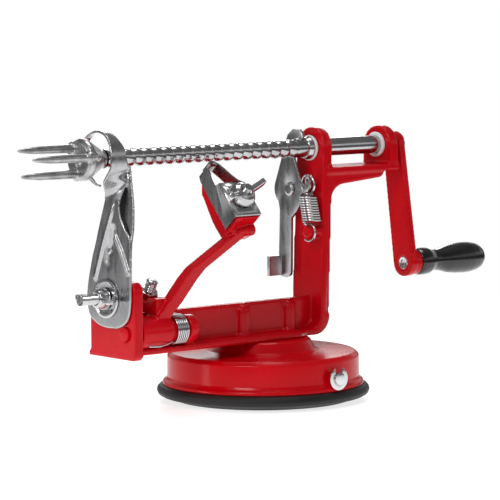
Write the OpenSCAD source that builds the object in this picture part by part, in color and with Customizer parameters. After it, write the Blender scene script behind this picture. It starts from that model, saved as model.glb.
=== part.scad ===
// Apple peeler corer: a hand-cranked screw feeds an apple past a sprung peeling blade and a slicing
// plate with a coring ring, on a cast frame that stands on a lever-operated suction base.
// Millimetres. +X runs along the shaft towards the crank, +Z is up, and the front is -Y.
// The origin is on the table, under the middle of the suction base.

/* [Suction base] */
// Largest radius of the rubber foot, at its bulging edge
foot_r = 52.5; // [50:0.5:56]
// Height of the rubber foot
foot_h = 7.5; // [6:0.5:9]
// Radius of the dome's upright wall
dome_r = 46.9; // [44:0.1:48]
// Height of the dome's flat top above the table
dome_top = 23.6; // [23:0.1:26]
// Height of the seat that carries the frame
seat_top = 29.8; // [29:0.1:32]
// Radius of the cam rod
rod_r = 3; // [2.5:0.1:3]
// Throw of the lifting cam
cam_throw = 2.5; // [2:0.1:2.6]

/* [Frame] */
// Outer face of the end block along X
block_x = -95.5; // [-98:0.5:-93]
// Top of the beam above the table
beam_top = 48.3; // [45:0.1:49]
// Front face of the post along X, at the height of the table
post_x = 27.3; // [26:0.1:29]
// Lean of the post from upright, in degrees
post_lean = 2; // [0:0.1:2.5]
// Inner face of the rear lug along X
lug_x = 76.5; // [70:0.5:77]
// Thickness of the rear lug
lug_t = 5.5; // [5:0.5:6]

/* [Shaft] */
// Height of the shaft's axis above the table
shaft_z = 122; // [120:0.5:125]
// Radius of the shaft
shaft_r = 4.5; // [4:0.1:4.5]
// Inner face of the crank along X
crank_x = 86.3; // [86:0.1:88]
// Sideways offset of the knob's axis from the shaft's axis
knob_y = -8.9; // [-12:0.1:0]
// Height of the knob's axis above the table
knob_z = 61.4; // [60:0.1:70]

/* [Fork] */
// Front face of the fork's head along X
fork_x = -112; // [-114:0.5:-111]
// Length of the prongs ahead of the fork's head
prong_l = 31; // [25:1:33]
// Distance of the prongs from the shaft's axis
prong_ring = 7; // [6:0.1:7]

/* [Slicing plate] */
// Thickness of the slicing plate
plate_t = 1.5; // [1:0.1:1.5]
// Outer radius of the coring ring
ring_r = 13.4; // [13:0.1:14]
// Height of the clamping bolt above the table
bolt_z = 56.4; // [55:0.1:58]

/* [Peeling arm] */
// Distance of the arm's pivot in front of the shaft's plane
pivot_y = -13.4; // [-14:0.1:-13]
// Height of the arm's pivot above the table
pivot_z = 40.4; // [40:0.1:41]
// Width of the blade carrier
carrier_w = 15.6; // [15:0.1:16]
// Length of the blade carrier
carrier_l = 19.5; // [19:0.1:20]
// Slope of the blade carrier from the horizontal, in degrees
carrier_slope = 49.2; // [48:0.1:51]

/* [Fit] */
// Radial clearance of every running fit
run = 0.05; // [0.03:0.01:0.08]

/* [Hidden] */
$fn = 64;

RED = "crimson";
STEEL = "silver";
NYLON = "white";
BLACK = "#1a1a1a";

// Base
foot_flat_r = 49.2;
membrane_t = 2.5;
dome_wall = 2.8;
lip_r = 49.6;
lip_top = 9.4;
seat_low_r = 27;
seat_r = 22.6;
rod_x = 5;
rod_z = 13.9;
collar_y = 49.7;
cam_r = 5.6;
clip_t = 0.8;
eye_r = 5.6;
play = 0.1;
lever_bar_t = 4;
grip_x = 33;
base_screw_r = 2.5;
base_screw_x = 13;
base_screw_y = 6.4;

// Frame
block_t = 5;
beam_bottom = seat_top;
beam_front = -3.5;
gusset_back = 7.5;
web_t = 4.5;
rib_r = 3.6;
flange_front = -16;
flange_t = 2.9;
post_t = 6;
post_skin = 3.5;
post_w = 22.4;
corner_r = 9;
arm_top_z = 112.4;
arm_plate_t = 3;
pin_r = 3.25;
pin_lug_x = -61;
pin_lug_t = 5;
bush_r = 5.5;
bush_flange_r = 6.3;
bush_flange_t = 1.3;

// Release lever
lever_x = 25.2;
lever_t = 1.6;
rivet_y = 8.4;
rivet_z = 101.2;
rivet_r = 2.5;
peg_y = -7;
peg_z = 80.8;
ear_y = -4.6;
ear_z = 106.2;

// Crank
crank_t = 4;
crank_lean = atan2(-knob_y, shaft_z - knob_z);
crank_l = norm([knob_y, shaft_z - knob_z]);
knob_x = crank_x + 8.7;
knob_end = 141.3;
spindle_r = 2.5;

// Peeling arm: the carrier's own frame has +X along the shaft, +Y up the slope and +Z out of its web
carrier_at = [-38.8, -35.1, 93.9];
carrier_skin = 1;
arm_boss_end = -72;
boss_r = 7.6;
heel_top = 51.75;
spring_r = 7.5;
spring_end = -61.8;
slicer_bolt_r = 2.5;
peeler_bolt_r = 2;
bolt_play = 0.2;

// Points on an arc about (cx, cy), from angle a to angle b
function arc(cx, cy, r, a, b, n = 8) =
    [for (i = [0:n]) let (t = a + (b - a) * i / n) [cx + r * cos(t), cy + r * sin(t)]];

// A plate square to X, from its outline in Y and Z
module plate_x(x, t) {
    translate([x, 0, 0]) rotate([90, 0, 90]) linear_extrude(t) children();
}

// A round bar along X, from x1 to x2
module bar_x(x1, x2, y, z, r) {
    translate([x1, y, z]) rotate([0, 90, 0]) cylinder(h = x2 - x1, r = r);
}

// A round bar along Y, from y1 to y2
module bar_y(y1, y2, x, z, r) {
    translate([x, y1, z]) rotate([-90, 0, 0]) cylinder(h = y2 - y1, r = r);
}

// A box between two corners
module block(a, b) {
    translate(a) cube(b - a);
}

// The post's lean, applied to what is drawn upright
module lean() {
    translate([post_x, 0, 0]) rotate([0, post_lean, 0]) children();
}

// The blade carrier's frame
module on_carrier() {
    translate(carrier_at) rotate([carrier_slope, 0, 0]) children();
}

// A wing nut on the axis +Z, seated at z = 0, with its wings along X
module wing_nut(span, bolt_r) {
    difference() {
        union() {
            cylinder(h = 5.4, r1 = 5.2, r2 = 4);
            for (side = [-1, 1])
                rotate([90, 0, 0])
                    linear_extrude(2.2, center = true)
                        polygon([
                            [side * 3, 0.6], [side * 5, 0.6], each arc(side * (span / 2 - 2.6), 6.4,
                            2.6, side > 0 ? -60 : 240, side > 0 ? 140 : 40, 10), [side * 3, 5]
                        ]);
        }
        translate([0, 0, -1]) cylinder(h = 12, r = bolt_r + run);
    }
}

// ---- frame ----

module end_block() {
    plate_x(block_x, block_t)
        polygon([
            [-20.8, 30.3], each arc(-16.3, 60.5, 4.5, 180, 90), [2, 65], [13.8, 54],
            [13.8, 31.3], [15.5, 30.3], [15.5, 28.2], [-18.8, 28.2]
        ]);
    // Gusset that carries the block on the beam
    translate([0, gusset_back, 0]) rotate([90, 0, 0]) linear_extrude(3.4)
        polygon([
            [block_x + 1, beam_bottom + 1], [block_x + 1, 53], [block_x + block_t, 53],
            [block_x + 14, beam_top - 1], [block_x + 14, beam_bottom + 1]
        ]);
}

module beam() {
    x1 = block_x + 1;
    x2 = post_x - 1.8;
    half = post_w / 2;
    corner_z = beam_bottom + corner_r + 0.02;
    translate([0, 0, beam_bottom]) linear_extrude(flange_t)
        polygon([
            [x1, flange_front], [post_x - 16, flange_front], [post_x - 8, 0.1 - half], [x2 + 0.5, 0.1 - half],
            [x2 + 0.5, half - 0.1], [x1, half - 0.1]
        ]);
    block([x1, beam_front, beam_bottom + 0.5], [post_x + 2, beam_front + web_t, beam_top]);
    // Upright half-round ribs on the front face, with domed tops
    for (x = [-16, 13.6])
        translate([x, beam_front + 0.1, 0]) {
            translate([0, 0, beam_bottom + 1]) cylinder(h = beam_top - beam_bottom - rib_r - 1.5, r = rib_r);
            translate([0, 0, beam_top - rib_r - 0.5]) sphere(r = rib_r - 0.03);
        }
    // Rounded corner under the post, hollowed where the flange turns up into it
    difference() {
        union() {
            intersection() {
                bar_y(-half, half, x2, corner_z, corner_r);
                block([x2 - 0.5, -20, 20], [60, 20, corner_z + 1]);
            }
            block([x2 - 3.6, 0.2 - half, beam_bottom + 0.2], [x2 + 0.2, half - 0.2, corner_z - 0.5]);
        }
        bar_y(-20, 20, x2 - 2.85, corner_z - 0.1, 6);
    }
}

module post() {
    low = beam_bottom + corner_r - 1;
    lean() {
        plate_x(0, post_skin)
            polygon([
                [-post_w / 2, low], each arc(0, shaft_z, 10.4, 180, 0, 24), [post_w / 2, low]
            ]);
        for (side = [-1, 1])
            block([post_skin - 0.1, side > 0 ? 7.2 : -10.2, low], [post_t, side > 0 ? 10.2 : -7.2, shaft_z - 8]);
        bar_x(0, post_t, 0, shaft_z, 10);
        // Solid head between the side webs
        block([0, -9.6, shaft_z - 17], [post_t, 9.6, shaft_z]);
    }
    // Boss behind the release lever and peg for its spring
    bar_x(lever_x + lever_t + 0.05, post_x + 6, rivet_y, rivet_z, 4.4);
    bar_x(lever_x + 0.8, post_x + 5, peg_y, peg_z, 2.6);
    translate([lever_x - 2.4, peg_y, peg_z]) rotate([0, 90, 0]) cylinder(h = 3.2, r1 = 3, r2 = 3.9);
}

module top_arm() {
    x1 = post_x + 6;
    block([x1, -10.9, arm_top_z - arm_plate_t], [lug_x + lug_t, 10.5, arm_top_z]);
    for (y = [-10, 7.3])
        translate([0, y + 2.7, 0]) rotate([90, 0, 0]) linear_extrude(2.7)
            polygon([
                [x1, 88], [x1 + 3.2, 92], each arc(45.5, 94.8, 9, 178, 97, 8),
                each arc(68.8, 109.8, 4, -75, 0, 6), [x1, arm_top_z - 1]
            ]);
    plate_x(lug_x, lug_t)
        polygon([[-10.3, arm_top_z - 2], each arc(0, shaft_z - 0.8, 10.3, 180, 0, 24), [10.3, arm_top_z - 2]]);
}

module frame_casting() {
    color(RED)
        difference() {
            union() {
                end_block();
                beam();
                post();
                top_arm();
                // Lug that holds the far end of the arm's pivot pin
                bar_x(pin_lug_x, pin_lug_x + pin_lug_t, pivot_y, pivot_z, 6.6);
                block([pin_lug_x, pivot_y, pivot_z - 6.6], [pin_lug_x + pin_lug_t, beam_front + 1, pivot_z + 4]);
            }
            bar_x(block_x - 1, pin_lug_x + pin_lug_t + 1, pivot_y, pivot_z, pin_r);
            bar_x(block_x - 1, block_x + block_t + 1, -0.8, bolt_z, slicer_bolt_r);
            bar_x(post_x, post_x + 14, 0, shaft_z, bush_r);
            bar_x(lug_x - 1, lug_x + lug_t + 1, 0, shaft_z, bush_r + run);
            bar_x(lever_x, post_x + 3.4, rivet_y, rivet_z, rivet_r);
            for (x = [-base_screw_x, base_screw_x])
                translate([x, base_screw_y, beam_bottom - 1]) cylinder(h = flange_t + 2, r = base_screw_r);
        }
}

module front_bush() {
    face = lever_x + 6.1;
    color(NYLON)
        difference() {
            union() {
                bar_x(face - bush_flange_t, face, 0, shaft_z, bush_flange_r);
                bar_x(face - 0.1, face + 8.4, 0, shaft_z, bush_r);
            }
            bar_x(face - 3, face + 12, 0, shaft_z, shaft_r + run);
        }
}

// Flared steel sleeve ahead of the front bush
module bush_sleeve() {
    x1 = lever_x + lever_t + 0.15;
    x2 = lever_x + 6.1 - bush_flange_t;
    color(STEEL)
        difference() {
            translate([x1, 0, shaft_z]) rotate([0, 90, 0]) cylinder(h = x2 - x1, r1 = 5.1, r2 = 5.9);
            bar_x(x1 - 1, x2 + 1, 0, shaft_z, shaft_r + run);
        }
}

module rear_bush() {
    color(NYLON)
        difference() {
            union() {
                bar_x(lug_x - bush_flange_t - 0.1, lug_x - 0.1, 0, shaft_z, bush_flange_r);
                bar_x(lug_x - 0.2, lug_x + lug_t + 1, 0, shaft_z, bush_r);
            }
            bar_x(lug_x - 3, lug_x + lug_t + 3, 0, shaft_z, shaft_r + run);
        }
}

// ---- suction base ----

module suction_dome() {
    hollow_top = dome_top - dome_wall;
    color(RED)
        difference() {
            union() {
                rotate_extrude($fn = 96)
                    polygon([
                        [0, foot_h], [lip_r - 0.3, foot_h], [lip_r, foot_h + 0.6], [lip_r - 0.5, lip_top],
                        [dome_r + 0.5, lip_top + 0.8], [dome_r, lip_top + 2],
                        each arc(dome_r - 3.3, dome_top - 3.8, 3, 4, 84, 6),
                        [seat_low_r + 0.6, dome_top + 0.1], [seat_low_r - 0.4, dome_top + 0.6],
                        [seat_r + 0.8, seat_top - 0.5], [seat_r, seat_top], [0, seat_top]
                    ]);
                // Collars that carry the rod
                bar_y(-collar_y, -dome_r + 2.3, rod_x, rod_z, rod_r + 1.6);
                bar_y(dome_r - 2.3, collar_y, rod_x, rod_z, rod_r + 1.6);
            }
            rotate_extrude($fn = 96)
                polygon([
                    [0, foot_h - 1], [dome_r - dome_wall, foot_h - 1], [dome_r - dome_wall - 0.4, hollow_top - 2],
                    [dome_r - dome_wall - 2.4, hollow_top], [seat_r, hollow_top],
                    [seat_r - 3.4, seat_top - 3.2], [0, seat_top - 3.2]
                ]);
            bar_y(-collar_y - 1, collar_y + 1, rod_x, rod_z, rod_r + run);
            for (x = [-base_screw_x, base_screw_x])
                translate([x, base_screw_y, seat_top - 6]) cylinder(h = 9, r = base_screw_r + 0.2);
        }
}

module suction_cup() {
    color(BLACK)
        rotate_extrude($fn = 96)
            polygon([
                [0, 0], [foot_flat_r, 0], each arc(foot_flat_r - 0.3, foot_h / 2, 3.6, -72, 72, 10),
                [foot_flat_r, foot_h], [46.2, foot_h], [45, 5], [42, membrane_t], [0, membrane_t]
            ]);
}

module base_screws() {
    color(STEEL)
        for (x = [-base_screw_x, base_screw_x])
            translate([x, base_screw_y, seat_top - 3.2]) {
                translate([0, 0, -2.6]) cylinder(h = 2.6, r = 4.4);
                translate([0, 0, -0.1]) cylinder(h = 3.1 + flange_t, r = base_screw_r - bolt_play);
            }
}

// The rod, with its cam turned 60 degrees back from level at rest
module cam_rod() {
    front = collar_y + play;
    color(STEEL)
        difference() {
            union() {
                bar_y(-front - clip_t - 1, front + 5, rod_x, rod_z, rod_r);
                bar_y(-2.6, 2.6, rod_x + cam_throw * cos(60), rod_z - cam_throw * sin(60), cam_r);
            }
            difference() {
                bar_y(-front - clip_t - 0.05, -front + 0.05, rod_x, rod_z, rod_r + 1);
                bar_y(-front - 3, -front + 3, rod_x, rod_z, rod_r - 0.5);
            }
        }
}

// The yoke that the cam lifts, on its plate in the middle of the cup
module lift_stud() {
    window_z = rod_z - cam_throw * sin(60);
    half = cam_r + 0.35;
    slot = [rod_x + cam_throw * cos(60) - 0.4, rod_x + cam_throw + 0.4];
    color(STEEL)
        difference() {
            union() {
                translate([0, 0, membrane_t]) cylinder(h = 1.5, r = 14);
                block([slot[0] - half - 3.5, -2, membrane_t + 1], [slot[1] + half + 3.5, 2, window_z + half + 1.6]);
            }
            for (x = slot)
                bar_y(-5, 5, x, window_z, half);
            block([slot[0], -5, window_z - half], [slot[1], 5, window_z + half]);
        }
}

module e_clip() {
    y = -collar_y - play - clip_t;
    color(STEEL)
        difference() {
            bar_y(y, y + clip_t, rod_x, rod_z, 5.6);
            bar_y(y - 1, y + 2, rod_x, rod_z, rod_r - 0.45);
            block([rod_x - 2.2, y - 1, rod_z], [rod_x + 2.2, y + 2, rod_z + 7]);
        }
}

module suction_lever() {
    y = collar_y + play;
    color(RED)
        difference() {
            translate([0, y + lever_bar_t, 0]) rotate([90, 0, 0]) linear_extrude(lever_bar_t)
                polygon([
                    each arc(rod_x, rod_z, eye_r, 80, 280, 16), [grip_x - 0.5, rod_z - 4.2], [grip_x + 11, rod_z - 4.2],
                    [grip_x + 11, rod_z + 4.2], [grip_x - 0.5, rod_z + 4.2]
                ]);
            bar_y(y - 1, y + 5, rod_x, rod_z, rod_r);
        }
}

module lever_grip() {
    y = collar_y + play;
    color(BLACK)
        difference() {
            translate([grip_x, y + lever_bar_t / 2, rod_z]) rotate([0, 90, 0]) intersection() {
                cylinder(h = 24, r1 = 6.4, r2 = 7.4);
                translate([-5.8, -4.4, -1]) cube([11.6, 8.8, 26]);
            }
            block([grip_x - 1, y, rod_z - 4.2], [grip_x + 11, y + lever_bar_t, rod_z + 4.2]);
        }
}

// ---- shaft, fork and crank ----

module screw_shaft() {
    color(STEEL) {
        bar_x(fork_x + 14, crank_x + crank_t, 0, shaft_z, shaft_r);
        bar_x(fork_x + 6, fork_x + 14.5, 0, shaft_z, 3);
    }
}

module fork() {
    color(STEEL)
        difference() {
            union() {
                translate([fork_x, 0, shaft_z]) rotate([0, 90, 0]) {
                    cylinder(h = 2, r1 = 8.2, r2 = 10);
                    translate([0, 0, 2]) cylinder(h = 1.2, r = 10);
                    translate([0, 0, 3.2]) cylinder(h = 9.2, r1 = 10, r2 = 4.7);
                    translate([0, 0, 12.4]) cylinder(h = 1.6, r = 4.7);
                }
                for (a = [48, 168, 288])
                    translate([fork_x, prong_ring * cos(a), shaft_z + prong_ring * sin(a)]) {
                        rotate([0, -90, 0]) translate([0, 0, -1]) cylinder(h = prong_l - 9, r1 = 2.1, r2 = 1.9);
                        rotate([0, -90, 0]) translate([0, 0, prong_l - 10]) cylinder(h = 9.4, r1 = 1.9, r2 = 0.7);
                        translate([-prong_l + 0.7, 0, 0]) sphere(r = 0.7, $fn = 24);
                    }
            }
            bar_x(fork_x + 6, fork_x + 16, 0, shaft_z, 3);
        }
}

// The crank in its own frame: the shaft's axis at the origin, the knob's at -Z
module crank_frame() {
    translate([crank_x, 0, shaft_z]) rotate([-crank_lean, 0, 0]) children();
}

module crank_arm() {
    color(RED)
        difference() {
            crank_frame() {
                plate_x(0, crank_t)
                    polygon([each arc(0, 0, 6.2, 180, 0, 16), each arc(0, -crank_l, 6.9, 0, -180, 16)]);
                bar_x(crank_t - 0.5, 8.3, 0, -crank_l, 6.4);
            }
            bar_x(crank_x - 1, crank_x + crank_t + 1, 0, shaft_z, shaft_r);
            bar_x(crank_x - 1, knob_x, knob_y, knob_z, spindle_r);
            bar_x(crank_x - 1, crank_x + 0.6, knob_y, knob_z, 3.4);
            // Shallow grooves along both edges
            crank_frame()
                for (side = [-1, 1])
                    block([1.4, side * 6.6 - 0.8, -crank_l + 4], [2.6, side * 6.6 + 0.8, -3]);
        }
}

module crank_screw() {
    x = crank_x + crank_t;
    color(STEEL) {
        bar_x(x, x + 1, 0, shaft_z, 5.6);
        bar_x(x + 0.9, x + 1.6, 0, shaft_z, 4);
    }
}

module knob_spindle() {
    color(STEEL) {
        bar_x(crank_x + 0.1, knob_end - 8, knob_y, knob_z, spindle_r);
        bar_x(crank_x + 0.05, crank_x + 0.6, knob_y, knob_z, 3.4);
        bar_x(knob_end - 8, knob_end - 6, knob_y, knob_z, 3.6);
    }
}

module knob() {
    l = knob_end - knob_x;
    color(BLACK)
        translate([knob_x + 0.1, knob_y, knob_z]) rotate([0, 90, 0]) rotate_extrude($fn = 96)
            polygon([
                [spindle_r + run, 0], [6.2, 0], [6.9, 1.5], [7, 4], [6.8, 7], [6, 9.4], [5.4, 11], [5.35, 14.5],
                [5.9, 17.5], [6.9, 21.2], [7.6, 26.5], [7.95, 32], [7.9, 36], [7.4, 40], [6.6, 43],
                [5.2, l - 1.1], [3.8, l - 0.1], [3.8, l - 8.2],
                [spindle_r + run, l - 8.2]
            ]);
}

// ---- slicing plate ----

module slicer_plate() {
    inner = ring_r - 1.1;
    color(STEEL)
        difference() {
            union() {
                difference() {
                    plate_x(block_x - plate_t, plate_t)
                        polygon([
                            [-1.1, 108], [0.1, 102.7], [1.9, 97.2], [4.7, 90.3], [10.1, 75.7], [13.5, 64],
                            [14.7, 56.3], [13.7, 48.8], [9.9, 45.3], [5.4, 43.2], [-0.2, 42.2], [-8, 42.2],
                            [-12.4, 43.6], [-16.6, 48], [-18.8, 54.5], [-19.2, 60], [-19.3, 90], [-18.6, 104],
                            [-13.2, shaft_z - 1]
                        ]);
                    bar_x(block_x - 5, block_x + 5, 0, shaft_z, ring_r - 0.3);
                }
                intersection() {
                    difference() {
                        bar_x(-106, -88, 0, shaft_z, ring_r);
                        bar_x(-107, -87, 0, shaft_z, inner);
                    }
                    linear_extrude(200) polygon([[-103, -15], [-93, -15], [-97.7, 4], [-97.7, 15], [-101, 15]]);
                }
            }
            // The clamping slot opens towards the front edge
            bar_x(block_x - 5, block_x + 1, -0.8, bolt_z, slicer_bolt_r + 0.3);
            block([block_x - 5, -14, bolt_z - slicer_bolt_r - 0.3], [block_x + 1, -0.8, bolt_z + slicer_bolt_r + 0.3]);
            // Slit between the cutting strip and the strip that carries the ring
            translate([block_x - 5, 0, 0]) rotate([90, 0, 90]) linear_extrude(8)
                polygon([
                    [-17, 87.2], [-11.4, 94], [-10.3, 99.5], [-11.2, 106], [-12.8, 105.6], [-12, 99.5],
                    [-13, 95], [-17.8, 89]
                ]);
        }
}

module blade_bolt() {
    color(STEEL) {
        bar_x(block_x - 17.5, block_x + block_t + 0.5, -0.8, bolt_z, slicer_bolt_r - bolt_play);
        bar_x(block_x + block_t, block_x + block_t + 2.6, -0.8, bolt_z, 5.2);
    }
}

module blade_washer() {
    x = block_x - plate_t - 0.05;
    color(STEEL)
        difference() {
            bar_x(x - 1, x, -0.8, bolt_z, 9.3);
            bar_x(x - 2, x + 1, -0.8, bolt_z, slicer_bolt_r + 0.2);
        }
}

module blade_wing_nut() {
    color(STEEL)
        translate([block_x - plate_t - 1.1, -0.8, bolt_z]) rotate([0, -90, 0]) rotate([0, 0, 90]) wing_nut(25, slicer_bolt_r);
}

// ---- peeling arm ----

module arm_pivot_pin() {
    color(RED) bar_x(block_x - 1.3, pin_lug_x + pin_lug_t, pivot_y, pivot_z, pin_r);
}

// A coil around the pin, with one leg on the beam and one hooked over the arm's heel
module arm_spring() {
    color(STEEL)
        difference() {
            bar_x(arm_boss_end + 1.3, spring_end, pivot_y, pivot_z, spring_r);
            bar_x(arm_boss_end - 1, spring_end + 1, pivot_y, pivot_z, 6.3);
        }
}

// The stop screw's own frame: its axis at the origin, leaning to the front
module stop_frame() {
    translate([-75, 0, 0]) rotate([28, 0, 0]) translate([0, 23, 0]) children();
}

// Straight stretches of the arm's leg, between level cross-sections
module leg(stations) {
    for (i = [1:len(stations) - 1])
        hull()
            for (at = [stations[i - 1], stations[i]])
                translate(at) cube([7.6, 6.4, 0.5], center = true);
}

module peeler_arm() {
    cheek_x = 1.1 - carrier_w / 2;
    color(RED)
        difference() {
            union() {
                bar_x(block_x + block_t + 0.4, arm_boss_end, pivot_y, pivot_z, boss_r);
                bar_x(arm_boss_end - 1, spring_end - 0.3, pivot_y, pivot_z, 5.9);
                leg([
                    [-76.8, -13.2, 42], [-75, -15.2, 48.4], [-70.4, -16.9, 54.2], [-64.2, -20.6, 65], [-60.4, -22.4, 70],
                    [-42.5, -27, 82.8], [-38, -28.2, 86]
                ]);
                on_carrier() {
                    // Bed of the blade carrier, its deep left cheek and its broader foot
                    block([cheek_x, -1, -11], [6.6, carrier_l - 2.2, -0.05]);
                    translate([cheek_x, 0, 0]) rotate([90, 0, 90]) linear_extrude(3)
                        polygon([
                            [-2.2, -9.4], [-1.2, -1.2], [18, -1.2], [23, -6], [27.6, -9.8], [27.4, -11.4], [24.4, -14],
                            [21.3, -14.3], [14, -15.6], [8.6, -16.4], [0.1, -16.2]
                        ]);
                    hull() {
                        block([cheek_x + 0.1, -2.1, -16], [cheek_x + 1, 1, -9.4]);
                        block([2.4, -2.6, -15.4], [6.6, 0.5, -5.6]);
                        translate([2.8, -2.4, -8]) rotate([0, 90, 0]) cylinder(h = 3.8, r = 2.7, $fn = 24);
                    }
                }
                // Heel that carries the stop screw
                stop_frame() block([-4.8, -11, 46.2], [4.2, 4.6, heel_top]);
                block([-79.5, -16.4, pivot_z + 5], [-70.8, -8.6, 56]);
            }
            bar_x(block_x, spring_end + 2, pivot_y, pivot_z, pin_r + run);
            on_carrier() translate([0, 10, -13]) cylinder(h = 14, r = peeler_bolt_r);
            stop_frame() translate([0, 0, 40]) cylinder(h = 20, r = 3);
        }
}

module stop_screw() {
    color(STEEL) stop_frame() {
        translate([0, 0, 44.1]) cylinder(h = 16.1, r = 3 - bolt_play);
    }
}

module stop_nut() {
    color(STEEL) stop_frame() difference() {
        translate([0, 0, heel_top + 0.05]) cylinder(h = 2.6, r = 5, $fn = 6);
        translate([0, 0, heel_top - 1]) cylinder(h = 6, r = 3);
    }
}

module peeler_blade() {
    half = carrier_w / 2;
    depth = 9.6;
    strip = [
        [-7.3, 30.6], [-6.8, 31.8], [-5.6, 32.6], [-3.8, 32.2], [-1.8, 30.6], [0.2, 27.4], [2.2, 23.8], [4.4, 20.8],
        [half - 0.5, 18.8]
    ];
    color(STEEL) on_carrier() {
        difference() {
            union() {
                block([-half, 0, 0], [half, carrier_l, carrier_skin]);
                block([half - carrier_skin, 0, -depth], [half, carrier_l, 0.1]);
                // Long left flange, which ends in the cutting strip
                translate([-half, 0, 0]) rotate([90, 0, 90]) linear_extrude(carrier_skin)
                    polygon([
                        [0, 0.1], [carrier_l, 0.1], [carrier_l + 1, -2.2], [31, -1.2], [31, -8.6], [28.3, -depth], [0, -depth]
                    ]);
                // Arched cutting strip
                for (i = [1:len(strip) - 1])
                    hull()
                        for (p = [strip[i - 1], strip[i]])
                            translate([p[0], p[1], -5]) cylinder(h = 5 + carrier_skin - 0.1, r = 0.5, $fn = 12);
            }
            // Adjusting slot along the web
            for (y = [8, 13]) translate([0, y, -1]) cylinder(h = 4, r = 2.3);
            block([-2.3, 8, -1], [2.3, 13, 3]);
        }
    }
}

module peeler_bolt() {
    color(STEEL) on_carrier() {
        translate([0, 10, -12.5]) cylinder(h = 22.4, r = peeler_bolt_r - bolt_play);
        translate([0, 10, -13.9]) cylinder(h = 2.3, r = 3.6);
    }
}

module peeler_washer() {
    color(STEEL) on_carrier() translate([0, 10, carrier_skin + 0.05]) difference() {
        cylinder(h = 0.8, r = 4.8);
        translate([0, 0, -1]) cylinder(h = 3, r = 2.2);
    }
}

module peeler_wing_nut() {
    color(STEEL) on_carrier() translate([0, 10, carrier_skin + 0.9]) rotate([0, 0, 18]) wing_nut(24, peeler_bolt_r);
}

// ---- release lever ----

module release_lever() {
    color(STEEL)
        difference() {
            union() {
                plate_x(lever_x, lever_t)
                    polygon([
                        [-1, 126.7], [-1.4, 129], [1.2, 131.2], [6, 131.4], [10, 128.4], [12.8, 122.5],
                        [14.9, 116], [18.4, 107], each arc(12.4, 101, 7.8, 20, -52, 6), [16.1, 90.5], [17.2, 60],
                        each arc(13.4, 60.4, 3.6, 0, -90, 4), [11.4, 56.8], each arc(11, 60, 3, -90, -180, 4),
                        [7.6, 86.8], [3.4, 90.4], [1.2, 93.5], [0.6, 97], [-1, 100.2], [-4.8, 100.4], [-6.4, 103], [-6.2, 106.6], [-4.2, 109.4],
                        [-2.8, 106.8], [-2.6, 103], [1.4, 107.6], [4, 113], [5.4, 116.5], [5.4, 126.7]
                    ]);
                // Finger tab folded at the foot
                block([lever_x - 8, 14.9, 57.6], [lever_x + 0.4, 16.5, 67.6]);
            }
            bar_x(lever_x - 1, lever_x + 3, rivet_y, rivet_z, rivet_r + run);
            bar_x(lever_x - 1, lever_x + 3, ear_y, ear_z, 0.9);
        }
}

module lever_rivet() {
    color(STEEL) {
        bar_x(lever_x - 1.1, lever_x - 0.05, rivet_y, rivet_z, 3.5);
        bar_x(lever_x - 0.2, post_x + 3.3, rivet_y, rivet_z, rivet_r);
    }
}

// The closed coil's outer shape between the lever's ear and the peg
module lever_spring() {
    top = [25, -7, 98.8];
    drop = 12.8;
    color(STEEL)
        translate(top - [0, 0, drop]) difference() {
            cylinder(h = drop, r = 5);
            translate([0, 0, -1]) cylinder(h = drop + 2, r = 3.8);
        }
}

frame_casting();
suction_dome();
suction_cup();
base_screws();
front_bush();
bush_sleeve();
rear_bush();
screw_shaft();
fork();
crank_arm();
crank_screw();
knob_spindle();
knob();
slicer_plate();
blade_bolt();
blade_washer();
blade_wing_nut();
arm_pivot_pin();
arm_spring();
peeler_arm();
stop_screw();
stop_nut();
peeler_blade();
peeler_bolt();
peeler_washer();
peeler_wing_nut();
release_lever();
lever_rivet();
lever_spring();
cam_rod();
lift_stud();
e_clip();
suction_lever();
lever_grip();
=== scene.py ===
"""Apple peeler corer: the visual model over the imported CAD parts, in the same frame.

Sizes are in millimetres and become metres when a mesh is made. +X runs along the shaft towards the
crank, +Z is up and the front is -Y.
"""

import math

import bmesh
import bpy
from mathutils import Matrix, Vector


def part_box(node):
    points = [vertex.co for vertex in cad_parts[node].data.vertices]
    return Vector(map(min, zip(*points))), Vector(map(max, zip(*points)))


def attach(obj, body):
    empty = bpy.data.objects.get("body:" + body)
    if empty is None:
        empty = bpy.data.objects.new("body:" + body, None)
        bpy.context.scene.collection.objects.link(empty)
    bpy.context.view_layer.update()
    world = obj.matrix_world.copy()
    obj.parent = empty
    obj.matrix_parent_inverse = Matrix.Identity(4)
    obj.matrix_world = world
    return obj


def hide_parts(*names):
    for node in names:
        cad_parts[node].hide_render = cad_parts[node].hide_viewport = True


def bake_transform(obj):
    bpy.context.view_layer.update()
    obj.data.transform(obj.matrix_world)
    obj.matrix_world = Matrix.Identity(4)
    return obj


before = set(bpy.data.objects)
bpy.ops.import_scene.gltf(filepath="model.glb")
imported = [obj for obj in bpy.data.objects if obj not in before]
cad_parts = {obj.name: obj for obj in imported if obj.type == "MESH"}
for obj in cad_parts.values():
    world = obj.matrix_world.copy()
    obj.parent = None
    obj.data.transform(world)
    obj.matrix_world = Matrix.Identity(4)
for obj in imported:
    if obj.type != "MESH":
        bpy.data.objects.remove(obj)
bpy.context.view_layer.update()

MM = 0.001
scene = bpy.context.scene


# ---- places and sizes ----


def low(node):
    """The low corner of a CAD node."""
    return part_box(node)[0] / MM


def high(node):
    """The high corner of a CAD node."""
    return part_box(node)[1] / MM


def middle(node):
    """The centre of a CAD node."""
    return (low(node) + high(node)) / 2


# Read from the CAD parts
SHAFT_Z = middle("screw_shaft").z
SHAFT_R = (high("screw_shaft").z - low("screw_shaft").z) / 2
FORK_X = high("fork").x - 14
BOLT = middle("blade_washer")
PIVOT = middle("arm_pivot_pin")
KNOB = middle("knob")

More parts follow.
